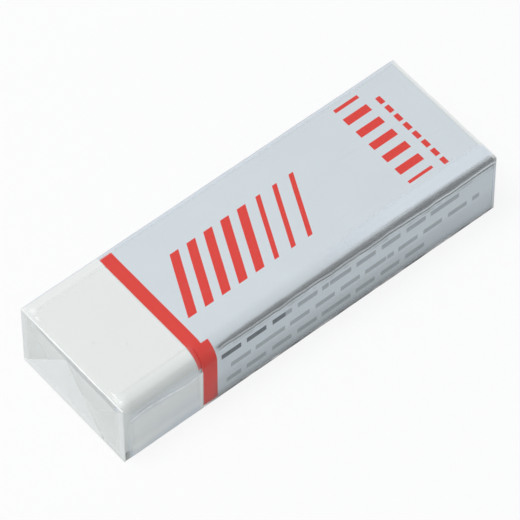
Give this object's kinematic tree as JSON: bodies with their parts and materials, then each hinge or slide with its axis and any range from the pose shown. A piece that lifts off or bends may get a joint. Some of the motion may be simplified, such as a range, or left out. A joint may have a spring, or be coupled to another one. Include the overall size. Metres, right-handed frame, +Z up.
{
  "type": "plastic block eraser in a card sleeve and clear overwrap",
  "caption": "White vinyl block eraser in a pale card sleeve with a red band, overwrapped in clear film with folded ends.",
  "frame": {"origin": "middle of the rectangle that the wrapped eraser rests on, at the underside", "axes": "+X along the block, from its bare end to its sleeved end; +Y towards the far long side, away from the sleeve's lap; +Z up"},
  "size_m": [0.065, 0.0216, 0.0118],
  "materials": {
    "vinyl": "matte",
    "card": "satin",
    "glue": "satin",
    "film": "gloss"
  },
  "bodies": {
    "wrapped_block": {"eraser_block": "vinyl", "film_tube": "film"},
    "sleeve": {"card_sleeve": "card", "sleeve_glue": "glue"},
    "front_bottom_flap": {"front_bottom_flap": "film"},
    "front_top_flap": {"front_top_flap": "film"},
    "front_far_tuck": {"front_far_tuck": "film"},
    "front_near_tuck": {"front_near_tuck": "film"},
    "rear_bottom_flap": {"rear_bottom_flap": "film"},
    "rear_top_flap": {"rear_top_flap": "film"},
    "rear_far_tuck": {"rear_far_tuck": "film"},
    "rear_near_tuck": {"rear_near_tuck": "film"}
  },
  "joints": [
    {"name": "sleeve_slide", "type": "slide", "parent": "wrapped_block", "child": "sleeve", "axis": [-1, 0, 0], "range_m": [0, 0.01285]},
    {"name": "front_bottom_flap_crease", "type": "hinge", "parent": "wrapped_block", "child": "front_bottom_flap", "pos_m": [-0.0325, 0, 0], "axis": [0, -1, 0], "range_deg": [0, 90]},
    {"name": "front_top_flap_crease", "type": "hinge", "parent": "wrapped_block", "child": "front_top_flap", "pos_m": [-0.03244, 0, 0.01183], "axis": [0, 1, 0], "range_deg": [0, 90]},
    {"name": "front_far_tuck_crease", "type": "hinge", "parent": "wrapped_block", "child": "front_far_tuck", "pos_m": [-0.03244, 0.01082, 0.00591], "axis": [0, 0, -1], "range_deg": [0, 90]},
    {"name": "front_near_tuck_crease", "type": "hinge", "parent": "wrapped_block", "child": "front_near_tuck", "pos_m": [-0.03244, -0.01082, 0.00591], "axis": [0, 0, 1], "range_deg": [0, 90]},
    {"name": "rear_bottom_flap_crease", "type": "hinge", "parent": "wrapped_block", "child": "rear_bottom_flap", "pos_m": [0.0325, 0, 0], "axis": [0, 1, 0], "range_deg": [0, 90]},
    {"name": "rear_top_flap_crease", "type": "hinge", "parent": "wrapped_block", "child": "rear_top_flap", "pos_m": [0.03244, 0, 0.01183], "axis": [0, -1, 0], "range_deg": [0, 90]},
    {"name": "rear_far_tuck_crease", "type": "hinge", "parent": "wrapped_block", "child": "rear_far_tuck", "pos_m": [0.03244, 0.01082, 0.00591], "axis": [0, 0, 1], "range_deg": [0, 90]},
    {"name": "rear_near_tuck_crease", "type": "hinge", "parent": "wrapped_block", "child": "rear_near_tuck", "pos_m": [0.03244, -0.01082, 0.00591], "axis": [0, 0, -1], "range_deg": [0, 90]}
  ],
  "couplings": [
    {"joint": "front_top_flap_crease", "follows": "front_bottom_flap_crease", "ratio": 1},
    {"joint": "front_far_tuck_crease", "follows": "front_bottom_flap_crease", "ratio": 1},
    {"joint": "front_near_tuck_crease", "follows": "front_bottom_flap_crease", "ratio": 1},
    {"joint": "rear_top_flap_crease", "follows": "rear_bottom_flap_crease", "ratio": 1},
    {"joint": "rear_far_tuck_crease", "follows": "rear_bottom_flap_crease", "ratio": 1},
    {"joint": "rear_near_tuck_crease", "follows": "rear_bottom_flap_crease", "ratio": 1}
  ]
}
